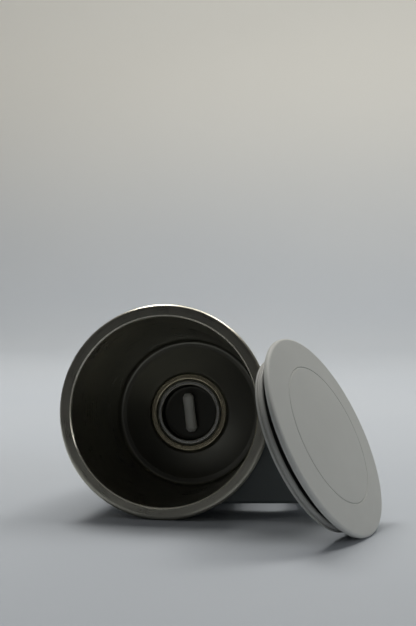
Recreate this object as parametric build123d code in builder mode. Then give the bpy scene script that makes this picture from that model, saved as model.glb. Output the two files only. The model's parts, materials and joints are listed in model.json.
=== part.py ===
"""Self-stirring travel cup lying on its side, with its plug lid leaning against the handle.

The cup is a straight cone from a small base to a wide steel rim, so on its side it lies along one
line of the cone.  Every piece of the cup is drawn in the frame `cup`, whose origin is the centre of
the base and whose z runs out through the mouth.  Every piece of the lid is drawn in the frame `lid`,
whose origin is the centre of the flange's upper edge and whose z runs out of the lid's face.
"""
import os
from math import asin, atan2, cos, radians, sin, sqrt

from build123d import *

os.makedirs("parts", exist_ok=True)

# ---------------------------------------------------------------- driving dimensions (mm, degrees)
cup_height = 105.0
rim_r = 42.0
base_r = 29.0
mouth_r = 37.1  # bore of the steel bowl at the mouth
bowl_floor_r = 31.0
bowl_depth = 53.0

steel_t = 0.8
collar_h = 9.0
collar_t = 1.2
rim_face_t = 1.2
shell_t = 2.2
shell_inset = 0.5  # the shell stands this far inside the rim collar and the foot ring
fit = 0.15  # between pieces that are pushed together
touch = 0.05  # between pieces that are clamped together
run = 0.04  # radial clearance of a shaft in its bush

# bowl floor
floor_rise = 2.5  # from the wall up to the stirring well
floor_round = 2.0
bead_r = 15.1
bead_h = 1.1
lip_r = 12.8
well_r = 11.7
well_depth = 4.2

# stirring drive
capsule_len = 16.5
capsule_r = 2.4
capsule_turn = -8.0  # of the capsule from the upright, clockwise as seen from the mouth
capsule_skin = 0.7
capsule_lift = 0.2
magnet_gap = 1.2  # between the well and the rotor
rotor_r = 12.0
rotor_h = 4.0
rotor_magnet_r = 3.0
rotor_magnet_h = 2.6
rotor_magnet_place = 7.5
motor_r = 10.0
motor_h = 19.5
shaft_r = 1.0
bush_r = 3.0
plate_t = 2.0
plate_seat_h = 4.0
plate_seat_w = 4.2
screw_r = 1.0
screw_head_r = 1.8
screw_head_h = 1.2
screw_len = 5.0

# batteries and base
cell_r = 5.25
cell_len = 44.5
cell_nub_r = 1.9
cell_nub_len = 1.2
cell_pitch = 11.0
cell_gap = 0.5  # above the cover
contact_t = 0.5
tray_wall = 1.5
tray_h = 7.0
board_t = 1.6
foot_h = 6.0
foot_t = 1.0
foot_lip_t = 1.0  # of the lip that turns in under the shell
cover_rise = 0.6  # the cover lies this far inside the foot ring
cover_t = 1.0
cover_r = 26.0
cover_hub_r = 23.7
cover_lip_t = 2.0
lug_t = 1.4
lug_r = 25.6
lug_angle = 26.0
gasket_t = 0.4

# handle
handle_angle = 22.0  # below the level of the cup's axis when it lies on its side
handle_reach = 66.0  # from the cup's axis to the centre of the grip, at the rim's level
grip_r = 11.0
handle_narrow = 0.90  # root of the handle over the cone's radius
arm_top = 92.0
arm_t = 15.0
handle_bottom = 20.0
lower_arm_t = 13.0
grip_t = 14.0
finger_round = 7.0
finger_edge = 2.0
handle_edge = 1.6
handle_screw_side = 7.0  # of each screw from the handle's middle plane
button_r = 5.5
button_h = 3.0
button_stand = 1.6
button_travel = 1.2
button_place = 0.89  # along the reach, from the axis to the grip's centre
switch_w = 6.0
switch_h = 3.4

# lid
flange_r = 39.3
flange_t = 2.4
flange_bevel = 0.6
dome_h = 1.6
face_ring_r = 27.0
face_ring_w = 0.5
face_ring_deep = 0.35
neck_r = 31.0
neck_t = 2.6
neck_h = 9.6
seal_r = 34.6
seal_h = 3.3
seal_lip = 1.0
lid_rise = 26.2  # of the lid's face above the horizontal
lid_turn = -13.6  # of the lid's face from +X, seen from above
lid_side = 25.0  # of the lid's centre beyond the grip's edge, along the lid
lean_gap = 0.3

# place of the base's centre, so that the origin is under the middle of the whole object
stand_x = -21.36
stand_y = 76.74

# ---------------------------------------------------------------- frames and shared sizes
slope = atan2(rim_r - base_r, cup_height)
out = Vector(0, -cos(slope), sin(slope))
cup = Plane(origin=(stand_x, stand_y, base_r * cos(slope)), x_dir=(1, 0, 0), z_dir=out)
section = Plane(origin=cup.origin, x_dir=cup.x_dir, z_dir=cup.x_dir.cross(cup.z_dir))
cup_axis = Axis(cup.origin, cup.z_dir)


def cone_r(z):
    """Radius of the cup's outer cone at height z above the base."""
    return base_r + (rim_r - base_r) * z / cup_height


def bore_r(z):
    """Inner radius of the steel bowl at height z above the base."""
    return mouth_r - (mouth_r - bowl_floor_r) * (cup_height - z) / bowl_depth


def shell_r(z):
    """Outer radius of the plastic shell at height z above the base."""
    return cone_r(z) - shell_inset


floor_z = cup_height - bowl_depth
pan_z = floor_z + floor_rise
well_z = pan_z - well_depth
collar_z = cup_height - collar_h
rim_under = cup_height - rim_face_t
spigot_top = rim_under - 1.8

rotor_top = well_z - steel_t - magnet_gap
rotor_z = rotor_top - rotor_h
plate_top = rotor_z - 1.2
plate_z = plate_top - plate_t
motor_z = plate_z - motor_h

cover_top = cover_rise + cover_t
lip_z = cover_top + gasket_t + touch
lug_z = lip_z + cover_lip_t + touch
hub_top = lug_z + lug_t
cell_z = hub_top + cell_gap + cell_r
tray_top = cell_z + tray_h
ledge_t = 1.5
ledge_r = 26.0
tray_r = cone_r(tray_top) - shell_inset - shell_t - 0.3 - fit

# the handle's middle plane, and the plane that its two screws start from
handle_dir = cup.x_dir * cos(radians(handle_angle)) - cup.y_dir * sin(radians(handle_angle))
handle_side = Plane(origin=cup.origin, x_dir=handle_dir, z_dir=handle_dir.cross(cup.z_dir))
handle_screw_z = handle_bottom + lower_arm_t / 2
across_r = ledge_r - 4.0
across = Plane(
    origin=cup.origin + cup.z_dir * handle_screw_z + handle_dir * across_r,
    x_dir=cup.z_dir,
    z_dir=handle_dir,
)
screw_wall_r = cone_r(handle_screw_z - screw_head_r) - shell_inset - shell_t
screw_seat_r = sqrt(screw_wall_r**2 - (handle_screw_side + screw_head_r) ** 2) - touch
handle_screw_len = screw_len + 4.0

# ---------------------------------------------------------------- steel bowl and rim
with BuildPart() as liner:
    with BuildSketch(section):
        with BuildLine():
            Polyline(
                (0, well_z),
                (well_r - 1.0, well_z),
                (well_r, well_z + 1.0),
                (well_r, pan_z + 0.3),
                (lip_r - 0.3, pan_z + 0.8),
                (lip_r + 0.3, pan_z + 0.8),
                (bead_r - 1.3, pan_z - 0.1),
                (bead_r - 0.5, pan_z + bead_h),
                (bead_r + 0.5, pan_z + bead_h),
                (bead_r + 1.4, pan_z),
                (bowl_floor_r - floor_round, floor_z),
                (bowl_floor_r - 0.6, floor_z + 0.6),
                (bowl_floor_r + 0.1, floor_z + floor_round),
                (bore_r(rim_under), rim_under),
                (bore_r(rim_under) + 3.0, rim_under),
                (bore_r(rim_under) + 3.0, rim_under - steel_t),
                (bore_r(rim_under) + steel_t, rim_under - steel_t),
                (bowl_floor_r + 0.1 + steel_t, floor_z + floor_round),
                (bowl_floor_r - 0.3, floor_z - steel_t + 0.3),
                (bowl_floor_r - floor_round, floor_z - steel_t),
                (well_r + 3.0, pan_z - 2.0 * steel_t),
                (well_r + steel_t, pan_z - 2.0 * steel_t),
                (well_r + steel_t, well_z),
                (well_r, well_z - steel_t),
                (0, well_z - steel_t),
                close=True,
            )
        make_face()
    revolve(axis=cup_axis)

with BuildPart() as rim_collar:
    with BuildSketch(section):
        with BuildLine():
            Polyline(
                (bore_r(rim_under), rim_under),
                (mouth_r, cup_height - 0.4),
                (mouth_r + 0.4, cup_height),
                (rim_r - 0.8, cup_height),
                (cone_r(cup_height - 0.8), cup_height - 0.8),
                (cone_r(collar_z), collar_z),
                (cone_r(collar_z) - collar_t, collar_z),
                (cone_r(rim_under) - collar_t, rim_under),
                close=True,
            )
        make_face()
    revolve(axis=cup_axis)

spigot_out = cone_r(spigot_top) - collar_t - fit
spigot_in = spigot_out - 1.4
with BuildPart() as rim_gasket:
    with BuildSketch(section):
        with BuildLine():
            Polyline(
                (spigot_in - 0.4, rim_under - steel_t - fit),
                (spigot_in - 0.4, spigot_top + touch),
                (spigot_out, spigot_top + touch),
                (spigot_out, rim_under),
                (bore_r(rim_under) + 3.0 + fit, rim_under),
                (bore_r(rim_under) + 3.0 + fit, rim_under - steel_t - fit),
                close=True,
            )
        make_face()
    revolve(axis=cup_axis)

# ---------------------------------------------------------------- plastic shell and foot ring
shell_in_r = shell_inset + shell_t
with BuildPart() as outer_shell:
    with BuildSketch(section):
        with BuildLine():
            Polyline(
                (cover_r + 0.3, foot_lip_t),
                (cone_r(foot_lip_t) - foot_t - 0.2, foot_lip_t),
                (cone_r(foot_h) - foot_t - 0.2, foot_h),
                (shell_r(foot_h), foot_h),
                (shell_r(collar_z - fit), collar_z - fit),
                (cone_r(collar_z) - collar_t - fit, collar_z - fit),
                (spigot_out, spigot_top),
                (spigot_in, spigot_top),
                (cone_r(collar_z) - shell_in_r, collar_z - 4.0),
                (cone_r(plate_z) - shell_in_r, plate_z),
                (cone_r(plate_z) - shell_in_r - plate_seat_w, plate_z),
                (cone_r(plate_z) - shell_in_r - plate_seat_w, plate_z - plate_seat_h),
                (cone_r(plate_z - 7.0) - shell_in_r, plate_z - 7.0),
                (cone_r(tray_top + ledge_t + 2.0) - shell_in_r, tray_top + ledge_t + 2.0),
                (ledge_r, tray_top + ledge_t),
                (ledge_r, tray_top),
                (cone_r(tray_top) - shell_in_r, tray_top),
                (cone_r(hub_top) - shell_in_r, lip_z + cover_lip_t),
                (cover_hub_r + 0.3, lip_z + cover_lip_t),
                (cover_hub_r + 0.3, lip_z),
                (cover_r + 0.3, lip_z),
                close=True,
            )
        make_face()
    revolve(axis=cup_axis)
    # three gaps in the lip that let the cover's lugs through
    with BuildSketch(cup.offset(lip_z - 0.5)):
        with PolarLocations(0, 3, start_angle=2 * lug_angle):
            with BuildLine():
                Line((0, 0), (lug_r + 0.4, 0))
                CenterArc((0, 0), lug_r + 0.4, 0, lug_angle + 3)
                Line(
                    (0, 0),
                    ((lug_r + 0.4) * cos(radians(lug_angle + 3)), (lug_r + 0.4) * sin(radians(lug_angle + 3))),
                )
            make_face()
    extrude(amount=cover_lip_t + 1.0, mode=Mode.SUBTRACT)
    # holes for the plate's screws, down through the seat
    screw_place = cone_r(plate_z) - shell_in_r - plate_seat_w / 2 - 0.2
    with BuildSketch(cup.offset(plate_z)):
        with PolarLocations(screw_place, 3, start_angle=90):
            Circle(screw_r + fit)
    extrude(amount=-plate_seat_h, mode=Mode.SUBTRACT)
    # holes for the handle's screws, along the handle
    with BuildSketch(across):
        with Locations((0, -handle_screw_side), (0, handle_screw_side)):
            Circle(screw_r + fit)
    extrude(amount=cone_r(handle_screw_z) + 2.0 - across_r, mode=Mode.SUBTRACT)

with BuildPart() as foot_ring:
    with BuildSketch(section):
        with BuildLine():
            Polyline(
                (cover_r + 0.4, 0),
                (base_r - 0.5, 0),
                (cone_r(0.5), 0.5),
                (cone_r(foot_h - 0.3), foot_h - 0.3),
                (cone_r(foot_h) - 0.45, foot_h - touch),
                (cone_r(foot_h) - foot_t - 0.15, foot_h - touch),
                (cone_r(foot_lip_t) - foot_t - 0.15, foot_lip_t - touch),
                (cover_r + 0.4, foot_lip_t - touch),
                close=True,
            )
        make_face()
    revolve(axis=cup_axis)

# ---------------------------------------------------------------- base cover
with BuildPart() as base_cover:
    with BuildSketch(cup.offset(cover_rise)):
        Circle(cover_r)
    extrude(amount=cover_t)
    with BuildSketch(cup.offset(cover_top)):
        Circle(cover_hub_r)
        Circle(cover_hub_r - 1.8, mode=Mode.SUBTRACT)
    extrude(amount=hub_top - cover_top)
    with BuildSketch(cup.offset(lug_z)):
        with PolarLocations(0, 3):
            with BuildLine():
                Line((0, 0), (lug_r, 0))
                CenterArc((0, 0), lug_r, 0, lug_angle)
                Line((0, 0), (lug_r * cos(radians(lug_angle)), lug_r * sin(radians(lug_angle))))
            make_face()
        Circle(cover_hub_r - 1.8, mode=Mode.SUBTRACT)
    extrude(amount=lug_t)
    # coin slot
    with BuildSketch(cup.offset(cover_rise)):
        SlotOverall(22, 2.4)
    extrude(amount=0.6, mode=Mode.SUBTRACT)

with BuildPart() as cover_gasket:
    with BuildSketch(cup.offset(cover_top)):
        Circle(cover_r - 0.1)
        Circle(cover_hub_r + 0.4, mode=Mode.SUBTRACT)
    extrude(amount=gasket_t)

# ---------------------------------------------------------------- batteries
cell_half = cell_len / 2
with BuildPart() as battery_tray:
    with BuildSketch(cup.offset(cell_z)):
        Rectangle(cell_len + 2 * (contact_t + tray_wall), 2 * cell_pitch + 2 * tray_wall)
        Circle(tray_r, mode=Mode.INTERSECT)
    extrude(amount=tray_h)
    with BuildSketch(cup.offset(tray_top - 2.0)):
        Circle(tray_r)
    extrude(amount=2.0)
    with BuildSketch(Plane(origin=cup.origin + cup.z_dir * cell_z, x_dir=cup.y_dir, z_dir=cup.x_dir)):
        with Locations((-cell_pitch / 2, 0), (cell_pitch / 2, 0)):
            Circle(cell_r + fit)
    extrude(amount=cell_half + contact_t, both=True, mode=Mode.SUBTRACT)

with BuildPart() as batteries:
    for side in (-1, 1):
        cell = Plane(
            origin=cup.origin + cup.z_dir * cell_z + cup.y_dir * side * cell_pitch / 2,
            x_dir=cup.y_dir,
            z_dir=cup.x_dir * side,
        )
        with BuildSketch(cell.offset(-cell_half)):
            Circle(cell_r)
        extrude(amount=cell_len - cell_nub_len)
        with BuildSketch(cell.offset(cell_half - cell_nub_len)):
            Circle(cell_nub_r)
        extrude(amount=cell_nub_len)

with BuildPart() as contacts:
    for side in (-1, 1):
        for end in (-1, 1):
            place = Plane(
                origin=cup.origin
                + cup.z_dir * cell_z
                + cup.y_dir * side * cell_pitch / 2
                + cup.x_dir * end * (cell_half + touch),
                x_dir=cup.y_dir,
                z_dir=cup.x_dir * end,
            )
            with BuildSketch(place):
                Rectangle(6.0, 6.0)
            extrude(amount=contact_t - 2 * touch)

with BuildPart() as circuit_board:
    with BuildSketch(cup.offset(tray_top)):
        Circle(22.0)
        with Locations((0, 20)):
            Rectangle(8, 6, mode=Mode.SUBTRACT)
    extrude(amount=board_t)
    with BuildSketch(cup.offset(tray_top + board_t)):
        with Locations((14, 6), (14, -7), (-15, 0)):
            Rectangle(5, 4)
    extrude(amount=1.0)

# ---------------------------------------------------------------- motor and rotor
with BuildPart() as motor:
    with BuildSketch(cup.offset(motor_z)):
        Circle(motor_r)
    extrude(amount=motor_h)
    with BuildSketch(cup.offset(motor_z)):
        Circle(3.0)
    extrude(amount=-1.0)
    with BuildSketch(cup.offset(plate_z - 6.0)):
        Circle(bush_r)
    extrude(amount=6.0, mode=Mode.SUBTRACT)
    chamfer(motor.edges().filter_by(GeomType.CIRCLE).group_by(SortBy.RADIUS)[-1], 0.8)

with BuildPart() as motor_plate:
    with BuildSketch(cup.offset(plate_z)):
        Circle(cone_r(plate_z) - shell_in_r - 0.3)
        Circle(bush_r + 0.1, mode=Mode.SUBTRACT)
        with PolarLocations(screw_place, 3, start_angle=90):
            Circle(screw_r + fit, mode=Mode.SUBTRACT)
    extrude(amount=plate_t)

with BuildPart() as shaft_bush:
    with BuildSketch(cup.offset(plate_z - 6.0)):
        Circle(bush_r)
        Circle(shaft_r + run, mode=Mode.SUBTRACT)
    extrude(amount=6.0 + plate_t)

with BuildPart() as motor_shaft:
    with BuildSketch(cup.offset(plate_z - 6.0 + 0.2)):
        Circle(shaft_r)
    extrude(amount=rotor_top - 1.0 - plate_z + 5.8)

with BuildPart() as drive_rotor:
    with BuildSketch(cup.offset(rotor_z)):
        Circle(rotor_r)
    extrude(amount=rotor_h)
    with BuildSketch(cup.offset(plate_top + 0.3)):
        Circle(bush_r)
    extrude(amount=rotor_z - plate_top - 0.3)
    with BuildSketch(cup.offset(plate_top)):
        Circle(shaft_r)
    extrude(amount=rotor_top - 1.0 - plate_top, mode=Mode.SUBTRACT)
    with BuildSketch(cup.offset(rotor_top - rotor_magnet_h)):
        with PolarLocations(rotor_magnet_place, 2, start_angle=90 - capsule_turn):
            Circle(rotor_magnet_r + touch)
    extrude(amount=rotor_magnet_h, mode=Mode.SUBTRACT)

with BuildPart() as rotor_magnets:
    with BuildSketch(cup.offset(rotor_top - rotor_magnet_h)):
        with PolarLocations(rotor_magnet_place, 2, start_angle=90 - capsule_turn):
            Circle(rotor_magnet_r)
    extrude(amount=rotor_magnet_h - 0.1)

with BuildPart() as screws:
    for k in range(3):
        turn = radians(90 + 120 * k)
        spot = cup.origin + cup.x_dir * screw_place * cos(turn) + cup.y_dir * screw_place * sin(turn)
        seat = Plane(origin=spot + cup.z_dir * plate_top, x_dir=cup.x_dir, z_dir=cup.z_dir)
        with BuildSketch(seat):
            Circle(screw_head_r)
        extrude(amount=screw_head_h)
        with BuildSketch(seat):
            Circle(screw_r)
        extrude(amount=-screw_len)
    for side in (-1, 1):
        seat = Plane(
            origin=across.origin
            + across.z_dir * (screw_seat_r - across_r)
            + across.y_dir * side * handle_screw_side,
            x_dir=across.x_dir,
            z_dir=across.z_dir,
        )
        with BuildSketch(seat):
            Circle(screw_head_r)
        extrude(amount=-screw_head_h)
        with BuildSketch(seat):
            Circle(screw_r)
        extrude(amount=handle_screw_len)

# ---------------------------------------------------------------- stirring capsule
lie = cup.x_dir * sin(radians(capsule_turn)) + cup.y_dir * cos(radians(capsule_turn))
capsule_mid = cup.origin + cup.z_dir * (well_z + capsule_lift + capsule_r)
capsule = Plane(origin=capsule_mid, x_dir=lie, z_dir=cup.z_dir)
with BuildPart() as stir_capsule:
    with BuildSketch(capsule):
        with BuildLine():
            Line((-capsule_len / 2, 0), (capsule_len / 2, 0))
            Line((capsule_len / 2, 0), (capsule_len / 2, 0.6))
            ThreePointArc(
                (capsule_len / 2, 0.6),
                (capsule_len / 2 - 0.55, capsule_r - 0.55),
                (capsule_len / 2 - 1.9, capsule_r),
            )
            Line((capsule_len / 2 - 1.9, capsule_r), (-capsule_len / 2 + 1.9, capsule_r))
            ThreePointArc(
                (-capsule_len / 2 + 1.9, capsule_r),
                (-capsule_len / 2 + 0.55, capsule_r - 0.55),
                (-capsule_len / 2, 0.6),
            )
            Line((-capsule_len / 2, 0.6), (-capsule_len / 2, 0))
        make_face()
    revolve(axis=Axis(capsule_mid, lie))
    core = Plane(origin=capsule_mid, x_dir=cup.z_dir, z_dir=lie)
    with BuildSketch(core.offset(-capsule_len / 2 + 2.0)):
        Circle(capsule_r - capsule_skin + touch)
    extrude(amount=capsule_len - 4.0, mode=Mode.SUBTRACT)

with BuildPart() as capsule_magnet:
    with BuildSketch(core.offset(-capsule_len / 2 + 2.0)):
        Circle(capsule_r - capsule_skin)
    extrude(amount=capsule_len - 4.0)

# ---------------------------------------------------------------- handle
# Seen along the axis the handle is a drop: a circle about the cup, a smaller one at the grip, and the
# two lines that touch both.  It narrows towards the base as the cone does.
root_r = handle_narrow * rim_r


def drop(z):
    """Outline of the handle in the cup's plane at height z, as a face."""
    k = cone_r(z) / rim_r
    lean = asin((root_r - grip_r) / handle_reach)
    turn = radians(-handle_angle)
    grip = (handle_reach * k * cos(turn), handle_reach * k * sin(turn))
    rg = grip_r * k
    rr = root_r * k
    up, down = turn + radians(90) - lean, turn - radians(90) + lean
    with BuildSketch(cup.offset(z)) as outline:
        with BuildLine():
            Line((rr * cos(down), rr * sin(down)), (grip[0] + rg * cos(down), grip[1] + rg * sin(down)))
            ThreePointArc(
                (grip[0] + rg * cos(down), grip[1] + rg * sin(down)),
                (grip[0] + rg * cos(turn), grip[1] + rg * sin(turn)),
                (grip[0] + rg * cos(up), grip[1] + rg * sin(up)),
            )
            Line((grip[0] + rg * cos(up), grip[1] + rg * sin(up)), (rr * cos(up), rr * sin(up)))
            ThreePointArc(
                (rr * cos(up), rr * sin(up)),
                (-rr * cos(turn), -rr * sin(turn)),
                (rr * cos(down), rr * sin(down)),
            )
        make_face()
    return outline


drop_top = drop(arm_top)
drop_low = drop(handle_bottom)
button_axis_r = handle_reach * button_place
button_spot = cup.origin + handle_dir * button_axis_r
arm_low = arm_top - arm_t
opening_low = handle_bottom + lower_arm_t
button_under = arm_top - button_h
switch_z = button_under - button_travel - 0.1 - switch_h


def opening_out(z):
    """Distance from the cup's axis to the inner side of the grip at height z."""
    return (handle_reach + grip_r) * cone_r(z) / rim_r - grip_t


def is_finger_edge(edge):
    """True for an edge round either mouth of the finger opening, clear of the cup."""
    spot = edge.center() - cup.origin
    z, reach = spot.dot(cup.z_dir), spot.dot(handle_dir)
    across_opening = abs(edge.tangent_at(0.5).dot(handle_side.z_dir)) > 0.9
    return (
        not across_opening
        and opening_low - 1 < z < arm_low + 1
        and 0.5 * base_r < reach < opening_out(z) + 0.5
    )


with BuildPart() as handle:
    add(drop_top.sketch)
    add(drop_low.sketch)
    loft()
    fillet(handle.faces().sort_by(cup_axis)[-1].edges(), handle_edge)
    fillet(handle.faces().sort_by(cup_axis)[0].edges(), handle_edge)
    # finger opening through the grip, with the arms left above and below it
    with BuildSketch(handle_side) as opening:
        with BuildLine():
            Polyline(
                (0, opening_low),
                (opening_out(opening_low), opening_low),
                (opening_out(arm_low), arm_low),
                (0, arm_low),
                close=True,
            )
        make_face()
        fillet(opening.vertices().sort_by(Axis.X)[-2:], finger_round)
    extrude(amount=2 * root_r, both=True, mode=Mode.SUBTRACT)
    fillet(handle.edges().filter_by(is_finger_edge), finger_edge)
    # the shell passes through the root
    with BuildSketch(section):
        with BuildLine():
            Polyline(
                (0, -1),
                (shell_r(-1) + touch, -1),
                (shell_r(cup_height) + touch, cup_height),
                (0, cup_height),
                close=True,
            )
        make_face()
    revolve(axis=cup_axis, mode=Mode.SUBTRACT)
    # well for the button, the switch under it, and the screws' holes
    with BuildSketch(cup.offset(arm_top)):
        with Locations(cup.to_local_coords(button_spot)):
            Circle(button_r + fit)
    extrude(amount=-(button_h + button_travel + 0.1), mode=Mode.SUBTRACT)
    with BuildSketch(cup.offset(switch_z)):
        with Locations(cup.to_local_coords(button_spot)):
            Rectangle(switch_w + 2 * touch, switch_w + 2 * touch)
    extrude(amount=switch_h + 0.1, mode=Mode.SUBTRACT)
    with BuildSketch(across):
        with Locations((0, -handle_screw_side), (0, handle_screw_side)):
            Circle(screw_r + fit)
    extrude(amount=screw_seat_r + handle_screw_len + 1.0 - across_r, mode=Mode.SUBTRACT)

with BuildPart() as push_switch:
    with BuildSketch(cup.offset(switch_z)):
        with Locations(cup.to_local_coords(button_spot)):
            Rectangle(switch_w, switch_w)
    extrude(amount=switch_h)

with BuildPart() as power_button:
    with BuildSketch(cup.offset(button_under)):
        with Locations(cup.to_local_coords(button_spot)):
            Circle(button_r)
    extrude(amount=button_h + button_stand)
    chamfer(power_button.faces().sort_by(cup_axis)[-1].edges(), 0.6)

# ---------------------------------------------------------------- lid
rise, swing = radians(lid_rise), radians(lid_turn)
face_dir = Vector(cos(rise) * cos(swing), cos(rise) * sin(swing), sin(rise))
along = Vector(-sin(swing), cos(swing), 0)
uphill = face_dir.cross(along)
# the lid stands on the lower edge of its flange and leans on the outermost corner of the handle
lid_height = flange_r * cos(rise) + (flange_t - flange_bevel) * sin(rise)
k_top = cone_r(arm_top) / rim_r
flat_dir = (face_dir - cup.z_dir * face_dir.dot(cup.z_dir)).normalized()
lean_on = cup.origin + cup.z_dir * arm_top + handle_dir * handle_reach * k_top + flat_dir * grip_r * k_top
edge_lost = handle_edge * (face_dir.dot(cup.z_dir) + face_dir.dot(flat_dir) - 1)
lid_mid = lean_on + face_dir * (neck_h + lean_gap - edge_lost) - along * lid_side
lid_mid = lid_mid + uphill * ((lid_height - lid_mid.Z) / uphill.Z)
lid = Plane(origin=lid_mid, x_dir=along, z_dir=face_dir)
lid_section = Plane(origin=lid_mid, x_dir=along, z_dir=along.cross(face_dir))
lid_axis = Axis(lid_mid, face_dir)

face_r = flange_r - flange_bevel
ball_r = (face_r**2 + dome_h**2) / (2 * dome_h)


def face_z(r):
    """Height of the lid's domed face at radius r, on a ball that meets the flange's edge."""
    return sqrt(ball_r**2 - r**2) - ball_r + dome_h


ring_in, ring_out = face_ring_r - face_ring_w / 2, face_ring_r + face_ring_w / 2
ring_mid = (face_r + ring_out) / 2

with BuildPart() as lid_cap:
    with BuildSketch(lid_section):
        with BuildLine():
            Line((0, dome_h), (0, -1.4))
            Line((0, -1.4), (neck_r - neck_t, -1.9))
            Line((neck_r - neck_t, -1.9), (neck_r - neck_t, -neck_h))
            Line((neck_r - neck_t, -neck_h), (neck_r, -neck_h))
            Line((neck_r, -neck_h), (neck_r, -flange_t))
            Line((neck_r, -flange_t), (flange_r - flange_bevel, -flange_t))
            Line((flange_r - flange_bevel, -flange_t), (flange_r, -flange_t + flange_bevel))
            Line((flange_r, -flange_t + flange_bevel), (flange_r, -flange_bevel))
            Line((flange_r, -flange_bevel), (flange_r - flange_bevel, 0))
            # the face, with the fine line that frames its middle
            ThreePointArc((face_r, 0), (ring_mid, face_z(ring_mid)), (ring_out, face_z(ring_out)))
            Line((ring_out, face_z(ring_out)), (face_ring_r, face_z(face_ring_r) - face_ring_deep))
            Line((face_ring_r, face_z(face_ring_r) - face_ring_deep), (ring_in, face_z(ring_in)))
            ThreePointArc((ring_in, face_z(ring_in)), (ring_in / 2, face_z(ring_in / 2)), (0, dome_h))
        make_face()
    revolve(axis=lid_axis)

seal_top = -neck_h + 0.4 + seal_h
with BuildPart() as lid_seal:
    with BuildSketch(lid_section):
        with BuildLine():
            Polyline(
                (neck_r + touch, seal_top),
                (seal_r - 0.4, seal_top),
                (seal_r, seal_top - 0.4),
                (seal_r, seal_top - seal_lip),
                (seal_r - 0.6, seal_top - seal_lip - 0.3),
                (seal_r - 0.6, seal_top - seal_h + seal_lip + 0.4),
                (seal_r - 0.1, seal_top - seal_h + seal_lip + 0.1),
                (seal_r - 0.1, seal_top - seal_h + 0.5),
                (seal_r - 0.6, seal_top - seal_h),
                (neck_r + touch, seal_top - seal_h),
                close=True,
            )
        make_face()
    revolve(axis=lid_axis)

with BuildPart() as lid_inner:
    with BuildSketch(lid.offset(-neck_h)):
        Circle(neck_r - neck_t - touch)
    extrude(amount=1.4)

# ---------------------------------------------------------------- export
for name, piece in {
    "liner": liner,
    "rim_collar": rim_collar,
    "rim_gasket": rim_gasket,
    "outer_shell": outer_shell,
    "foot_ring": foot_ring,
    "base_cover": base_cover,
    "cover_gasket": cover_gasket,
    "battery_tray": battery_tray,
    "batteries": batteries,
    "contacts": contacts,
    "circuit_board": circuit_board,
    "motor": motor,
    "motor_plate": motor_plate,
    "shaft_bush": shaft_bush,
    "motor_shaft": motor_shaft,
    "drive_rotor": drive_rotor,
    "rotor_magnets": rotor_magnets,
    "screws": screws,
    "stir_capsule": stir_capsule,
    "capsule_magnet": capsule_magnet,
    "handle": handle,
    "push_switch": push_switch,
    "power_button": power_button,
    "lid_cap": lid_cap,
    "lid_seal": lid_seal,
    "lid_inner": lid_inner,
}.items():
    piece.part.label = name
    export_step(piece.part, f"parts/{name}.step")
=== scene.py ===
"""Self-stirring travel cup lying on its side, with its plug lid leaning on the handle.

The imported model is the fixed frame.  The turned pieces that show are swept again here as smooth
surfaces with rounded edges, the rest of the model keeps its own shape, and every piece gets a finish.
Drawings are in millimetres, and are turned into metres when a piece is placed.
"""

import json
from math import cos, pi, radians, sin

import bpy
import numpy as np
from mathutils import Matrix, Vector

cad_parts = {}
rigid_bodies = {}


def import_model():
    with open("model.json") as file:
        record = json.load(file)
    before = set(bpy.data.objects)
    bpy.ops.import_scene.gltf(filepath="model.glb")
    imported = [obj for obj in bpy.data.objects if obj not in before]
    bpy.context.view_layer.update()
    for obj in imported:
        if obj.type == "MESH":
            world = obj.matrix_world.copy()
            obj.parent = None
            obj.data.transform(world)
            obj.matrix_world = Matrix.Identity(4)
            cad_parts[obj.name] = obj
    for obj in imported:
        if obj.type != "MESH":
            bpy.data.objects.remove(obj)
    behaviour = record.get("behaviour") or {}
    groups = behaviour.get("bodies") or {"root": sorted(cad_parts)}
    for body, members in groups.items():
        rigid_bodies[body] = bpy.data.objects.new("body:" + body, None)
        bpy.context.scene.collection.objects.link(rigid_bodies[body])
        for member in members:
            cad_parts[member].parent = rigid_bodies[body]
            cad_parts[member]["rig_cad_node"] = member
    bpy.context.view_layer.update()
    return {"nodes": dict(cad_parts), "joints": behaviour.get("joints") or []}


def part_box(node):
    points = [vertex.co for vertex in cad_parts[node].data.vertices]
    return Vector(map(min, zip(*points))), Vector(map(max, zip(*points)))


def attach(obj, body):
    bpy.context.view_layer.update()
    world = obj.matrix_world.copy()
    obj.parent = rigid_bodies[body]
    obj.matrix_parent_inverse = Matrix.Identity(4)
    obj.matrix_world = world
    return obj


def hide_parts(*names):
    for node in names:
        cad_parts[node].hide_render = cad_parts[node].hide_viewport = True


bl_info = {
    "name": "Travel cup looks",
    "version": (1, 0, 0),
    "blender": (4, 5, 0),
    "location": "3D View > Sidebar > Cup",
    "description": "Surfaces and finishes of a self-stirring travel cup, on its packed frame",
    "category": "Add Mesh",
}

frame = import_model()
MM = 1000.0

# what more than one piece or finish needs: millimetres and angles
COLLAR_T = 1.2  # steel of the collar, and of the rim's face
STEEL_T = 0.8  # steel of the bowl
BEAD_R, LIP_R, WELL_R = 15.1, 12.8, 11.7  # rings round the stirring well, and the well
BODY_INSET = 0.5  # the body stands this far inside the collar and the foot ring
FOOT_T = 1.2  # the foot ring, with its fit on the body
FLANGE_T = 2.4  # the lid's flange
NECK_H = 9.6  # the lid's plug, from the flange's upper edge
SEAL_TOP = 3.7 - NECK_H  # the seal's upper face, from the same edge
LID_RISE = radians(26.2)  # of the lid's face above the level
LID_TURN = radians(-13.6)  # of the lid's face from +x, seen from above
CAPSULE_TURN = radians(-8)  # of the capsule from the upright, seen from the mouth


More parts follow.
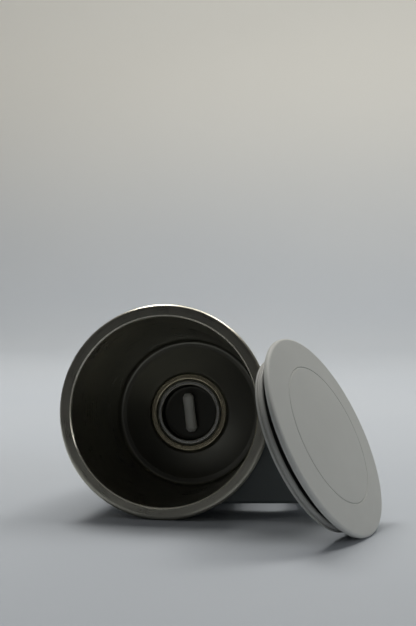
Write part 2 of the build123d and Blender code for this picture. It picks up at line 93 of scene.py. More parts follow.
# ---------------------------------------------------------------- places
def node_points(name):
    """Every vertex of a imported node, in millimetres, as an array."""
    mesh = frame["nodes"][name].data
    points = np.empty(len(mesh.vertices) * 3)
    mesh.vertices.foreach_get("co", points)
    return points.reshape(-1, 3) * MM


class Place:
    """A right-handed frame in the row: an origin in millimetres and three unit axes."""

    def __init__(self, origin, x, z):
        self.origin = np.asarray(origin, float)
        self.z = np.asarray(z, float) / np.linalg.norm(z)
        x = np.asarray(x, float) - np.dot(x, self.z) * self.z
        self.x = x / np.linalg.norm(x)
        self.y = np.cross(self.z, self.x)

    def row(self, local):
        """Local millimetres to row metres."""
        return (self.origin + np.asarray(local) @ np.array([self.x, self.y, self.z])) / MM

    def local(self, points):
        """Row millimetres to local millimetres."""
        return (np.asarray(points) - self.origin) @ np.array([self.x, self.y, self.z]).T

    def turned(self):
        """The turn of this frame, as an Euler angle."""
        return Matrix(np.array([self.x, self.y, self.z]).T.tolist()).to_euler()


def cup_place():
    """The cup's frame: on the rotor's axis, with the rim at z = its height and x level."""
    spin = next(j for j in frame["joints"] if j["name"] == "rotor_spin")
    axis = np.array(spin["axis"], float)
    base = Place(np.array(spin["pos_m"]) * MM, (1, 0, 0), axis)
    low = base.local(node_points("foot_ring"))[:, 2].min()
    return Place(base.origin + base.z * low, (1, 0, 0), axis)


def lid_place():
    """The lid's frame: on the cap's axis, with z = 0 at the flange's edge and z out of the face."""
    face = (cos(LID_RISE) * cos(LID_TURN), cos(LID_RISE) * sin(LID_TURN), sin(LID_RISE))
    rough = Place((0, 0, 0), (-sin(LID_TURN), cos(LID_TURN), 0), face)
    local = rough.local(node_points("lid_cap"))
    mid = (local.min(0) + local.max(0)) / 2
    mid[2] = local[:, 2].min() + NECK_H
    return Place(rough.row(mid) * MM, rough.x, face)


def capsule_place():
    """The capsule's frame: its middle, with z along its length across the cup."""
    low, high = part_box("stir_capsule")
    middle = (np.array(low) + np.array(high)) * MM / 2
    return Place(middle, CUP.z, CUP.x * sin(CAPSULE_TURN) + CUP.y * cos(CAPSULE_TURN))


def button_place():
    """The button's frame: its own axis, with heights as in the cup's frame."""
    local = CUP.local(node_points("power_button"))
    x, y, _ = (local.min(0) + local.max(0)) / 2
    return Place(CUP.row((x, y, 0)) * MM, CUP.x, CUP.z)


CUP = cup_place()
LID = lid_place()
CAPSULE = capsule_place()
BUTTON = button_place()


# ---------------------------------------------------------------- surfaces
def soften(corners, steps=6):
    """Closed profile through corners (r, z, radius), each corner made an arc that touches its two sides.

    The arc starts and ends radius / tan(half the corner's angle) away from the corner, its centre is on
    the bisector, and its points turn in equal angles about the centre.  One more point just before and
    after each arc keeps the sides flat.  Corners are taken anticlockwise, so that the surface faces
    outwards.  No arc uses more than 0.45 of a side."""
    corners = np.asarray(corners, float)
    p, radius = corners[:, :2], corners[:, 2]
    following = np.roll(p, -1, 0)
    if (p[:, 0] * following[:, 1] - following[:, 0] * p[:, 1]).sum() < 0:
        p, radius = p[::-1], radius[::-1]
    back, ahead = np.roll(p, 1, 0) - p, np.roll(p, -1, 0) - p
    back_len, ahead_len = np.linalg.norm(back, axis=1), np.linalg.norm(ahead, axis=1)
    back, ahead = back / back_len[:, None], ahead / ahead_len[:, None]
    half = np.arccos(np.clip((back * ahead).sum(1), -1, 1)) / 2
    cut = np.minimum(radius / np.tan(half), 0.45 * np.minimum(back_len, ahead_len))
    radius = cut * np.tan(half)
    bisector = back + ahead
    bisector /= np.maximum(np.linalg.norm(bisector, axis=1), 1e-9)[:, None]
    centre = p + bisector * (radius / np.sin(half))[:, None]
    start, end = p + back * cut[:, None] - centre, p + ahead * cut[:, None] - centre
    turn = np.maximum(pi - 2 * half, 1e-4)[:, None, None]
    t = np.linspace(0, 1, steps)[None, :, None]
    arc = (np.sin((1 - t) * turn) * start[:, None] + np.sin(t * turn) * end[:, None]) / np.sin(turn)
    arc = centre[:, None] + arc
    margin = np.minimum(0.12, 0.04 * np.minimum(back_len, ahead_len))[:, None] * (radius > 0)[:, None]
    line = np.concatenate(
        [(arc[:, 0] + back * margin)[:, None], arc, (arc[:, -1] + ahead * margin)[:, None]], axis=1
    ).reshape(-1, 2)
    new = np.linalg.norm(line - np.roll(line, 1, 0), axis=1) > 1e-5
    return line[new]


def put_mesh(name, points, corners, uv):
    """Mesh object from an array of row points, rows of four corner indices and the corners' UVs.

    A row of four that repeats one point is a triangle, and one that repeats two is left out."""
    same = corners == np.roll(corners, -1, 1)
    keep = same.sum(1) < 2
    corners, uv, same = corners[keep], uv[keep], same[keep]
    used = ~same
    counts = used.sum(1)
    mesh = bpy.data.meshes.new(name)
    mesh.vertices.add(len(points))
    mesh.vertices.foreach_set("co", np.asarray(points, np.float32).ravel())
    mesh.loops.add(int(counts.sum()))
    mesh.loops.foreach_set("vertex_index", corners[used].astype(np.int32))
    mesh.polygons.add(len(counts))
    mesh.polygons.foreach_set("loop_start", (np.cumsum(counts) - counts).astype(np.int32))
    layer = mesh.uv_layers.new(name="UVMap")
    layer.data.foreach_set("uv", uv[used].astype(np.float32).ravel())
    mesh.update(calc_edges=True)
    mesh.validate()
    mesh.shade_smooth()
    piece = bpy.data.objects.new(name, mesh)
    bpy.context.scene.collection.objects.link(piece)
    return piece


def lathe(name, place, corners, around=192, steps=6):
    """Surface turned about the place's z: point (i, j) is profile point i = (r, z) swung to the angle
    2 pi j / around, so x = r cos, y = r sin.  A profile point on the axis is one vertex, which closes
    the pole."""
    line = soften(corners, steps)
    line[:, 0] = np.where(line[:, 0] < 1e-4, 0.0, line[:, 0])
    swing = 2 * pi * np.arange(around) / around
    grid = np.stack(
        np.broadcast_arrays(
            line[:, :1] * np.cos(swing), line[:, :1] * np.sin(swing), line[:, 1:] + 0 * swing
        ),
        axis=-1,
    )
    index = np.arange(grid.shape[0] * around).reshape(-1, around)
    index = np.where(line[:, :1] == 0, index[:, :1], index)
    after, beside = np.roll(index, -1, 0), np.roll(index, -1, 1)
    both = np.roll(after, -1, 1)
    corners4 = np.stack([index, beside, both, after], axis=-1).reshape(-1, 4)
    run = np.concatenate([[0], np.cumsum(np.linalg.norm(np.roll(line, -1, 0) - line, axis=1))])
    u0, u1 = np.arange(around) / around, (np.arange(around) + 1) / around
    v0, v1 = run[:-1, None] / run[-1], run[1:, None] / run[-1]
    pairs = [(u0, v0), (u1, v0), (u1, v1), (u0, v1)]
    uv = np.stack([np.stack(np.broadcast_arrays(u, v), axis=-1) for u, v in pairs], axis=-2)
    used = np.unique(corners4)
    renumber = np.zeros(index.size, np.int64)
    renumber[used] = np.arange(len(used))
    return put_mesh(name, place.row(grid.reshape(-1, 3)[used]), renumber[corners4], uv.reshape(-1, 4, 2))


def sweep_floor(name, width, near, back, bend, height, level=30, curve=40, upright=12, columns=31):
    """Floor that bends up into a wall: point (i, j) has x = width (j - 1/2), and i runs along level
    ground, then a quarter circle of radius bend, then straight up.  Metres."""
    angle = np.linspace(0, pi / 2, curve)
    ground = np.stack([np.linspace(near, back, level), np.zeros(level)], 1)
    turn = np.stack([back + bend * np.sin(angle), bend - bend * np.cos(angle)], 1)
    wall = np.stack([np.full(upright, back + bend), np.linspace(bend, height, upright)], 1)
    line = np.concatenate([ground, turn[1:], wall[1:]])
    across = width * (np.linspace(0, 1, columns) - 0.5)
    grid = np.stack(np.broadcast_arrays(across[None, :], line[:, :1], line[:, 1:]), axis=-1)
    points = grid.reshape(-1, 3)
    index = np.arange(len(points)).reshape(-1, columns)
    corners = np.stack([index[:-1, :-1], index[:-1, 1:], index[1:, 1:], index[1:, :-1]], -1)
    corners = corners.reshape(-1, 4)
    return put_mesh(name, points, corners, points[corners][:, :, :2])


# ---------------------------------------------------------------- shader wires
class Wire:
    """One output of a shader node.  Arithmetic on wires and numbers adds the Math nodes for it."""

    def __init__(self, tree, socket):
        self.tree, self.socket = tree, socket

    @staticmethod
    def node(tree, kind, settings=None, values=None, out=0):
        """A node of a kind: its settings first, then the values or wires of its inputs."""
        made = tree.nodes.new(kind)
        for key, value in (settings or {}).items():
            setattr(made, key, value)
        for key, value in (values or {}).items():
            if isinstance(value, Wire):
                tree.links.new(value.socket, made.inputs[key])
            else:
                made.inputs[key].default_value = value
        return Wire(tree, made.outputs[out])

    def __getitem__(self, out):
        return Wire(self.tree, self.socket.node.outputs[out])

    @staticmethod
    def math(operation, *values):
        """A Math node on wires and numbers, of which at least one is a wire."""
        tree = next(value.tree for value in values if isinstance(value, Wire))
        return Wire.node(tree, "ShaderNodeMath", {"operation": operation}, dict(enumerate(values)))

    def __add__(self, other):
        return Wire.math("ADD", self, other)

    __radd__ = __add__

    def __sub__(self, other):
        return Wire.math("SUBTRACT", self, other)

    def __rsub__(self, other):
        return Wire.math("SUBTRACT", other, self)

    def __mul__(self, other):
        return Wire.math("MULTIPLY", self, other)

    __rmul__ = __mul__

    def __rtruediv__(self, other):
        return Wire.math("DIVIDE", other, self)

    def __pow__(self, other):
        return Wire.math("POWER", self, other)

    def step(self, low, high):
        """0 below low, 1 above high, smooth between."""
        return Wire.node(
            self.tree,
            "ShaderNodeMapRange",
            {"interpolation_type": "SMOOTHSTEP"},
            {"Value": self, "From Min": low, "From Max": high},
        )

    def near(self, middle, full, none):
        """1 within full of middle, 0 beyond none of it, smooth between."""
        return Wire.math("ABSOLUTE", self - middle).step(none, full)

    def blend(self, first, second):
        """The colour first where this wire is 0 and second where it is 1."""
        first, second = ((*c, 1.0) if isinstance(c, tuple) else c for c in (first, second))
        values = {0: self, 6: first, 7: second}
        return Wire.node(self.tree, "ShaderNodeMix", {"data_type": "RGBA"}, values, out=2)


class Finish:
    """A material being made: its shader, and the local coordinates of a place in millimetres."""

    def __init__(self, name, place=CUP, **sockets):
        self.material = bpy.data.materials.new(name)
        self.material.use_nodes = True
        self.tree = self.material.node_tree
        self.shader = next(n for n in self.tree.nodes if n.type == "BSDF_PRINCIPLED")
        for key, value in sockets.items():
            self.set(key.replace("_", " "), value)
        at = Wire.node(self.tree, "ShaderNodeTexCoord", out="Object")
        values = {
            "Vector": at,
            "Location": tuple(place.origin / MM),
            "Rotation": tuple(place.turned()),
            "Scale": (1 / MM, 1 / MM, 1 / MM),
        }
        self.at = Wire.node(self.tree, "ShaderNodeMapping", {"vector_type": "TEXTURE"}, values)
        split = Wire.node(self.tree, "ShaderNodeSeparateXYZ", values={0: self.at})
        self.x, self.y, self.z = split["X"], split["Y"], split["Z"]
        self.r = (self.x * self.x + self.y * self.y) ** 0.5

    def set(self, socket, value):
        """Puts a wire or a number in a socket of the shader."""
        if isinstance(value, Wire):
            self.tree.links.new(value.socket, self.shader.inputs[socket])
        else:
            self.shader.inputs[socket].default_value = value

    def vector(self, x, y, z):
        return Wire.node(self.tree, "ShaderNodeCombineXYZ", values={0: x, 1: y, 2: z})

    def noise(self, scale, detail=3.0, roughness=0.55, at=None, distortion=0.0):
        """Clouds from 0 to 1 whose lumps are about 1 / scale millimetres across."""
        values = {
            "Vector": at or self.at,
            "Scale": scale,
            "Detail": detail,
            "Roughness": roughness,
            "Distortion": distortion,
        }
        return Wire.node(self.tree, "ShaderNodeTexNoise", {}, values)

    def cells(self, scale):
        """Distance to the nearest of scattered points, in cells about 1 / scale millimetres across."""
        values = {"Vector": self.at, "Scale": scale}
        return Wire.node(self.tree, "ShaderNodeTexVoronoi", {}, values)

    def flecks(self, scale, full, none, patch, low, high):
        """Small spots about scattered points, only where slower clouds are above low to high."""
        return self.cells(scale).step(none, full) * self.noise(patch).step(low, high)

    def rings(self, turns=2.0, fine=5.0):
        """Coordinates slow round the axis and quick along the profile, for marks that run round."""
        inverse = 1.0 / Wire.math("MAXIMUM", self.r, 0.05)
        along = (self.r + self.z) * fine
        return self.vector(self.x * inverse * turns, self.y * inverse * turns, along)

    def bump(self, height, distance, strength=1.0):
        """Normal tilted by a height that is 0 to 1 over a distance in millimetres."""
        values = {"Height": height, "Distance": distance / MM, "Strength": strength}
        self.set("Normal", Wire.node(self.tree, "ShaderNodeBump", {}, values))


def tone(red, green, blue):
    """Colour on the screen's 0 to 255 scale as light."""
    c = np.array([red, green, blue]) / 255.0
    return tuple(float(v) for v in np.where(c <= 0.04045, c / 12.92, ((c + 0.055) / 1.055) ** 2.4))


def shade(colour, factor):
    """A colour made darker or lighter."""
    return tuple(float(c) * factor for c in colour)


DUST = tone(190, 190, 186)
PAINTED_GROOVE_SHADE = tone(26, 26, 25)  # painted shade: near black where hardly any light reaches, between the lid's flange and its seal


def rim_finish(colour, lip_r):
    """Turned steel: marks round the axis in roughness and relief, clouds, nicks, and a lip of finer
    polish whose paler colour is a painted highlight.
    """
    f = Finish("Brushed rim", CUP, Metallic=1.0)
    lines = f.noise(1.0, 5.0, 0.7, f.rings(3.0, 7.0))
    clouds = f.noise(0.12, 3.0)
    nicks = f.flecks(0.35, 0.04, 0.10, 0.2, 0.56, 0.64)
    lip = f.r.step(lip_r + 0.1, lip_r - 0.1)
    worn = clouds.blend(shade(colour, 0.86), shade(colour, 1.12))
    lined = lines.step(0.3, 0.75).blend(worn, shade(colour, 1.2))
    body = nicks.blend(lined, shade(colour, 1.7))
    # painted highlight: the lip's colour is 2.1 times the steel's; its lower roughness is polish
    f.set("Base Color", lip.blend(body, shade(colour, 2.1)))
    rough = 0.30 + (lines - 0.5) * 0.22 + (clouds - 0.5) * 0.12
    f.set("Roughness", rough + nicks * 0.1 - lip * 0.06)
    f.bump(lines - nicks * 0.8, 0.02)
    return f.material


def moulded(name, colour, place, rough, grain, deep, dust, specular=0.5):
    """Moulded plastic or rubber: fine grain in relief, slow changes of tone and gloss, and some dust."""
    f = Finish(name, place, Specular_IOR_Level=specular)
    fine = f.noise(grain, 4.0, 0.6)
    slow = f.noise(0.06, 2.0)
    specks = f.flecks(0.8, 0.03, 0.09, 0.3, 0.5, 0.62) * dust
    body = slow.blend(shade(colour, 0.93), shade(colour, 1.07))
    f.set("Base Color", specks.blend(body, DUST))
    f.set("Roughness", rough + (fine - 0.5) * 0.14 + (slow - 0.5) * 0.1 + specks * 0.2)
    f.bump(fine, deep)
    return f.material


def plated(name, colour, rough, scale=1.2):
    """Plated or machined metal: fine crossing marks, clouded gloss and dull patches."""
    f = Finish(name, CUP, Metallic=1.0)
    marks = f.noise(scale, 5.0, 0.7, distortion=1.5)
    dull = f.noise(0.3, 3.0).step(0.45, 0.75)
    f.set("Base Color", dull.blend(colour, shade(colour, 0.7)))
    f.set("Roughness", rough + (marks - 0.5) * 0.2 + dull * 0.15)
    f.bump(marks, 0.008)
    return f.material


def board_finish():
    """Circuit board: green mask with copper tracks under it, and pale rings at a grid of holes."""
    f = Finish("Board mask", CUP, Roughness=0.35, Coat_Weight=0.4, Coat_Roughness=0.15)
    lane = (f.x + f.noise(0.25, 1.0) * 4.0) * 0.55
    tracks = Wire.math("PINGPONG", lane, 0.5).step(0.30, 0.36)
    holes = f.cells(0.28)
    ring = holes.step(0.20, 0.16)
    body = tracks.blend(tone(24, 74, 44), tone(38, 104, 62))
    f.set("Base Color", ring.blend(body, tone(198, 178, 120)))
    f.set("Metallic", ring * 0.9)
    f.bump(tracks, 0.05)
    return f.material


def cell_finish():
    """Battery jacket: a sleeve in two plain bands along the cell, with bright metal at the ends."""
    f = Finish("Cell jacket", CUP)
    jacket, band_edge = 21.3, 6.6
    metal = (f.x * f.x).step(jacket**2, (jacket + 0.3) ** 2)
    band = f.x.step(band_edge, band_edge + 0.3)
    body = band.blend(tone(58, 64, 72), tone(176, 178, 178))
    f.set("Base Color", metal.blend(body, tone(214, 212, 206)))
    f.set("Metallic", metal)
    f.set("Roughness", 0.3 + (f.noise(1.5) - 0.5) * 0.2)
    f.bump(f.noise(2.0), 0.01)
    return f.material


def motor_finish():
    """Motor can: zinc-bright drawn steel with marks along its axis."""
    f = Finish("Motor can", CUP, Metallic=1.0)
    drawn = f.noise(1.0, 4.0, 0.6, f.vector(f.x * 3.0, f.y * 3.0, f.z * 0.08))
    f.set("Base Color", drawn.blend(tone(146, 148, 150), tone(196, 198, 198)))
    f.set("Roughness", 0.3 + (drawn - 0.5) * 0.25)
    f.bump(drawn, 0.01)
    return f.material


def lid_finish(colour, edge, neck):
    """Lid's matt plastic: fine grain, slow tone, faint rings left by the mould, paler towards the
    flange's edge, and painted shade, near black, on the neck in the groove under the flange."""
    f = Finish("Lid plastic", LID, Specular_IOR_Level=0.4)
    fine = f.noise(2.6, 4.0, 0.6)
    slow = f.noise(0.05, 2.0)
    rings = f.noise(1.0, 3.0, 0.5, f.rings(1.0, 0.7))
    # paler towards the flange's edge
    paler_edge = f.r.step(edge - 1.3, edge) * 0.5
    # painted shade: the neck between the flange's underside and the seal is coloured near black
    under_flange = f.z.step(-FLANGE_T, -FLANGE_T - 0.2)
    above_seal = f.z.step(SEAL_TOP - 0.3, SEAL_TOP + 0.1)
    groove = under_flange * above_seal * f.r.step(neck + 2.0, neck + 1.0)
    specks = f.flecks(0.5, 0.03, 0.08, 0.25, 0.55, 0.62)
    body = slow.blend(shade(colour, 0.95), shade(colour, 1.05))
    body = paler_edge.blend(body, shade(colour, 1.18))
    body = groove.blend(body, PAINTED_GROOVE_SHADE)
    f.set("Base Color", (specks * 0.35).blend(body, shade(colour, 1.5)))
    f.set("Roughness", 0.56 + (fine - 0.5) * 0.12 + (rings - 0.5) * 0.1)
    f.bump(fine * 0.8 + rings * 0.6, 0.02)
    return f.material


def seal_finish(colour, lip_r):
    """Seal's soft rubber: fine grain and dust, and painted shade, near black, on its upper face in the
    groove.
    """
    f = Finish("Seal rubber", LID)
    fine = f.noise(3.0, 4.0, 0.6)
    slow = f.noise(0.06, 2.0)
    # painted shade: the seal's upper face, inside its lip, is coloured near black
    groove = f.z.step(SEAL_TOP - 0.25, SEAL_TOP - 0.1) * f.r.step(lip_r - 0.8, lip_r - 1.1)
    specks = f.flecks(0.8, 0.03, 0.09, 0.3, 0.5, 0.62) * 0.5
    body = slow.blend(shade(colour, 0.78), shade(colour, 0.92))
    f.set("Base Color", groove.blend(specks.blend(body, DUST), PAINTED_GROOVE_SHADE))
    f.set("Roughness", 0.5 + (fine - 0.5) * 0.14 + (slow - 0.5) * 0.1 + specks * 0.2)
    f.bump(fine, 0.015)
    return f.material


def bowl_finish(colour, pan):
    """Bowl: dark satin steel with turned lines and faint tide marks, a rougher pan darkened by painted
    shade, a well darkened further by painted shade, and two rings round the well of finer polish whose
    paler colours are painted highlights.  The rings and the well are drawn about the height of the pan."""
    f = Finish("Bowl steel", CUP, Metallic=1.0)
    lines = f.noise(1.0, 5.0, 0.65, f.rings(1.5, 3.0))
    clouds = f.noise(0.07, 4.0, distortion=0.6)
    bead = f.r.near(BEAD_R, 0.5, 1.3)
    lip = f.r.near(LIP_R - 0.2, 0.3, 0.8)
    at_rings = f.z.step(pan - 0.5, pan + 0.2) * f.z.step(pan + 3.0, pan + 2.0)
    polish_and_highlight = Wire.math("MAXIMUM", bead, lip) * at_rings
    low = f.z.step(pan + 1.5, pan - 0.5)
    well = f.r.step(WELL_R + 0.5, WELL_R - 0.3) * low
    body = clouds.blend(shade(colour, 0.72), shade(colour, 1.15))
    # painted shade: low in the bowl the steel's colour is darkened to 0.62; the added roughness is real
    body = low.blend(body, shade(colour, 0.62))
    # painted shade: the well is darkened to 0.22 of the steel's colour
    body = well.blend(body, shade(colour, 0.22))
    # painted highlights: the two rings get paler colours than the steel; their lower roughness is polish
    rings = lip.blend(tone(206, 194, 164), tone(214, 212, 204))
    f.set("Base Color", polish_and_highlight.blend(body, rings))
    rough = 0.30 + (lines - 0.5) * 0.16 + (clouds - 0.5) * 0.14
    f.set("Roughness", rough + low * 0.06 - polish_and_highlight * 0.05)
    f.bump(lines, 0.012)
    return f.material


def ground_finish(floor_colour, wall_colour):
    """Seamless background: pale matt paper, a touch cooler where it lies level."""
    f = Finish("Background paper", Place((0, 0, 0), (1, 0, 0), (0, 0, 1)), Specular_IOR_Level=0.2)
    up = f.z.step(15.0, 420.0)
    fibre = f.noise(0.8, 4.0, 0.6)
    slow = f.noise(0.004, 2.0)
    base = up.blend(floor_colour, wall_colour)
    f.set("Base Color", (slow * 0.12 + fibre * 0.05).blend(base, wall_colour))
    f.set("Roughness", 0.85 + (fibre - 0.5) * 0.1)
    f.bump(fibre, 0.03)
    return f.material


def dress(piece, material):
    """Puts one finish in every material slot of a piece."""
    if not piece.data.materials:
        piece.data.materials.append(material)
    for slot in piece.material_slots:
        slot.link = "OBJECT" if "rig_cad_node" in piece else "DATA"
        slot.material = material
    return piece


def settle(piece, body, nodes, material):
    """Dresses a new piece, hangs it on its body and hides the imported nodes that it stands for."""
    dress(piece, material)
    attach(piece, body)
    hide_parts(*nodes)
    return piece


# ---------------------------------------------------------------- what a user may change
def length(name, text, value):
    """A length that is given in millimetres."""
    return bpy.props.FloatProperty(
        name=name, description=text, default=value / MM, unit="LENGTH", precision=4
    )


def colour(name, text, value):
    """A colour as light."""
    return bpy.props.FloatVectorProperty(
        name=name, description=text, default=value, subtype="COLOR", size=3, min=0.0, max=1.0
    )


class CupSizes(bpy.types.PropertyGroup):
    """Sizes of the turned pieces."""

    height: length("Cup height", "Base to rim, along the cup's axis", 105.0)
    rim_r: length("Rim radius", "Outside radius of the cup at the rim", 42.0)
    base_r: length("Base radius", "Outside radius of the cup at the base", 29.0)
    mouth_r: length("Mouth radius", "Inside radius of the bowl at the rim", 37.1)
    floor_r: length("Bowl floor radius", "Inside radius of the bowl at its floor", 31.0)
    bowl_depth: length("Bowl depth", "Rim to floor", 53.0)
    collar_h: length("Collar height", "Height of the steel collar", 9.0)
    foot_h: length("Foot height", "Height of the foot ring", 6.0)
    flange_r: length("Lid radius", "Outside radius of the lid's flange", 39.3)
    neck_r: length("Lid neck radius", "Outside radius of the lid's plug", 31.0)
    seal_r: length("Seal radius", "Outside radius of the seal's lips", 34.6)
    button_r: length("Button radius", "Radius of the power button", 5.5)
    capsule_len: length("Capsule length", "Length of the stirring capsule", 16.5)
    capsule_r: length("Capsule radius", "Radius of the stirring capsule", 2.4)


class CupColours(bpy.types.PropertyGroup):
    """Colours of the finishes."""

    rim: colour("Rim", "Steel of the collar", (0.43, 0.41, 0.345))
    bowl: colour("Bowl", "Steel of the bowl", (0.34, 0.33, 0.28))
    body: colour("Body", "Plastic of the body and handle", tone(104, 109, 109))
    cover: colour("Cover", "Plastic of the base cover and button", tone(40, 42, 42))
    lid: colour("Lid", "Plastic of the lid", tone(186, 187, 183))
    seal: colour("Seal", "Rubber of the lid's seal", tone(190, 190, 185))
    rubber: colour("Rubber", "Foot ring and gaskets", tone(34, 34, 34))
    capsule: colour("Capsule", "Plastic of the stirring capsule", tone(240, 238, 228))
    floor: colour("Floor", "Level part of the background", tone(182, 188, 196))
    wall: colour("Wall", "Upright part of the background", tone(236, 234, 227))


def sizes():
    """The sizes in millimetres, by name."""
    group = bpy.context.scene.cup_sizes
    return {k: getattr(group, k) * MM for k in CupSizes.__annotations__}


def colours():
    """The colours, by name."""
    group = bpy.context.scene.cup_colours
    return {k: tuple(getattr(group, k)) for k in CupColours.__annotations__}


def cone_r(s, z):
    """Radius of the cup's outer cone at height z."""
    return s["base_r"] + (s["rim_r"] - s["base_r"]) * z / s["height"]


def bore_r(s, z):
    """Radius of the bowl's wall at height z."""
    return s["mouth_r"] - (s["mouth_r"] - s["floor_r"]) * (s["height"] - z) / s["bowl_depth"]


# ---------------------------------------------------------------- pieces
class CUP_OT_rim(bpy.types.Operator):
    """Steel collar with a crowned, brushed rim"""

    bl_idname = "cup.rim"
    bl_label = "Rim collar"

    def execute(self, context):
        s, c = sizes(), colours()
        top, low = s["height"], s["height"] - s["collar_h"]
        under, lip = top - COLLAR_T, 0.5
        line = [
            (bore_r(s, under) + 0.02, under, 0.05),
            (s["mouth_r"] + 0.02, top - lip - 0.02, 0.1),
            (s["mouth_r"] + lip, top - 0.05, 0.1),
            (s["rim_r"] - 1.6, top, 6.0),
            (s["rim_r"] - 0.75, top - 0.12, 0.7),
            (cone_r(s, top - 0.95), top - 0.95, 0.7),
            (cone_r(s, low + 0.12) - 0.01, low + 0.12, 0.1),
            (cone_r(s, low) - 0.14, low, 0.08),
            (cone_r(s, low) - COLLAR_T, low, 0.08),
            (cone_r(s, under) - COLLAR_T, under, 0.2),
        ]
        piece = lathe("rim_collar_turned", CUP, line, around=256)
        steel = rim_finish(c["rim"], s["mouth_r"] + lip)
        settle(piece, "cup", ["rim_collar"], steel)
        return {"FINISHED"}


class CUP_OT_bowl(bpy.types.Operator):
    """Steel bowl with the stirring well and its two rings"""

    bl_idname = "cup.bowl"
    bl_label = "Bowl"

    def execute(self, context):
        s, c = sizes(), colours()
        top, brim = s["height"] - COLLAR_T, 3.0
        floor = s["height"] - s["bowl_depth"]
        pan = floor + 2.5
        well, turn = pan - 4.2, 2.0
        fr, mouth = s["floor_r"], bore_r(s, top)
        line = [
            # up the inside of the well
            (0, well, 0),
            (WELL_R, well, 1.2),
            (WELL_R, pan + 0.75, 0.4),
            # the two rings
            (LIP_R + 0.55, pan + 0.75, 0.5),
            (BEAD_R - 1.5, pan - 0.15, 0.35),
            (BEAD_R - 0.95, pan + 1.15, 0.8),
            (BEAD_R + 0.95, pan + 1.15, 0.9),
            (BEAD_R + 2.0, pan - 0.05, 1.3),
            # the pan, the wall and the brim
            (fr - turn - 1.0, floor + 0.1, 1.0),
            (fr - 0.75, floor + 0.1, 1.3),
            (fr + 0.1, floor + turn, 1.6),
            (mouth, top, 0.05),
            (mouth + brim, top, 0.05),
            # back down outside
            (mouth + brim, top - STEEL_T, 0.05),
            (mouth + STEEL_T, top - STEEL_T, 0.3),
            (fr + 0.1 + STEEL_T, floor + turn, 2.0),
            (fr - turn, floor - STEEL_T, 2.0),
            (WELL_R + 3.0, pan - 2 * STEEL_T, 1.0),
            (WELL_R + STEEL_T, pan - 2 * STEEL_T, 0.3),
            (WELL_R + STEEL_T, well, 0.8),
            (WELL_R - 0.4, well - STEEL_T, 0.8),
            (0, well - STEEL_T, 0),
        ]
        piece = lathe("bowl_turned", CUP, line, around=224, steps=7)
        settle(piece, "cup", ["liner"], bowl_finish(c["bowl"], pan))
        return {"FINISHED"}


class CUP_OT_body(bpy.types.Operator):
    """Plastic body and handle, and the rubber foot ring and gaskets"""

    bl_idname = "cup.body"
    bl_label = "Body and foot"

    def execute(self, context):
        s, c = sizes(), colours()
        plastic = moulded("Body plastic", c["body"], CUP, 0.40, 2.4, 0.014, 0.6)
        rubber = moulded("Dark rubber", c["rubber"], CUP, 0.62, 3.5, 0.02, 1.0, 0.35)
        piece = lathe("body_turned", CUP, self.body_line(s), around=224, steps=5)
        settle(piece, "cup", ["outer_shell"], plastic)
        piece = lathe("foot_ring_turned", CUP, self.foot_line(s), around=192, steps=5)
        settle(piece, "cup", ["foot_ring"], rubber)
        for node in ("rim_gasket", "cover_gasket"):
            dress(frame["nodes"][node], rubber)
        dress(frame["nodes"]["handle"], plastic)
        return {"FINISHED"}

    def body_line(self, s):
        """Profile of the body: up the outside, over the spigot in the collar, and down the inside."""
        collar, foot, wall = s["height"] - s["collar_h"], s["foot_h"], 2.7
        spigot, recess = s["height"] - 3.0, 1.35
        spigot_r = cone_r(s, spigot) - recess
        seat, seat_t, seat_w = 41.1, 4.0, 4.2
        ledge, ledge_t, ledge_r = 19.8, 1.5, 26.0
        lip, lip_t, lip_r = 4.1, 2.0, 24.0
        return [
            (ledge_r + 0.3, 1.0, 0.1),
            (cone_r(s, 1.0) - FOOT_T, 1.0, 0.1),
            (cone_r(s, foot) - FOOT_T, foot, 0.1),
            (cone_r(s, foot) - BODY_INSET, foot, 0.25),
            (cone_r(s, collar) - BODY_INSET, collar - 0.15, 0.25),
            (cone_r(s, collar) - recess, collar - 0.15, 0.1),
            (spigot_r, spigot, 0.2),
            (spigot_r - 1.4, spigot, 0.2),
            (cone_r(s, collar) - wall, collar - 4.0, 0.8),
            # the seat of the motor's plate
            (cone_r(s, seat) - wall, seat, 0.2),
            (cone_r(s, seat) - wall - seat_w, seat, 0.2),
            (cone_r(s, seat) - wall - seat_w, seat - seat_t, 0.2),
            (cone_r(s, seat - 7.0) - wall, seat - 7.0, 0.4),
            # the ledge over the batteries
            (cone_r(s, ledge + 2.0) - wall, ledge + 2.0, 0.4),
            (ledge_r, ledge, 0.1),
            (ledge_r, ledge - ledge_t, 0.1),
            (cone_r(s, ledge - ledge_t) - wall, ledge - ledge_t, 0.2),
            # the lip that the cover locks under
            (cone_r(s, lip + 1.4) - wall, lip, 0.2),
            (lip_r, lip, 0.1),
            (lip_r, lip - lip_t, 0.1),
            (ledge_r + 0.3, lip - lip_t, 0.1),
        ]

    def foot_line(self, s):
        """Profile of the foot ring, which covers the body's lower edge."""
        foot, inner, shelf = s["foot_h"], 26.4, 0.95
        return [
            (inner, 0.0, 0.2),
            (s["base_r"] - 0.5, 0.0, 0.3),
            (cone_r(s, 0.6), 0.6, 0.5),
            (cone_r(s, foot - 0.3), foot - 0.3, 0.2),
            (cone_r(s, foot) - 0.45, foot - 0.05, 0.12),
            (cone_r(s, foot) - FOOT_T + 0.05, foot - 0.05, 0.1),
            (cone_r(s, 1.0) - FOOT_T + 0.05, shelf, 0.1),
            (inner, shelf, 0.1),
        ]


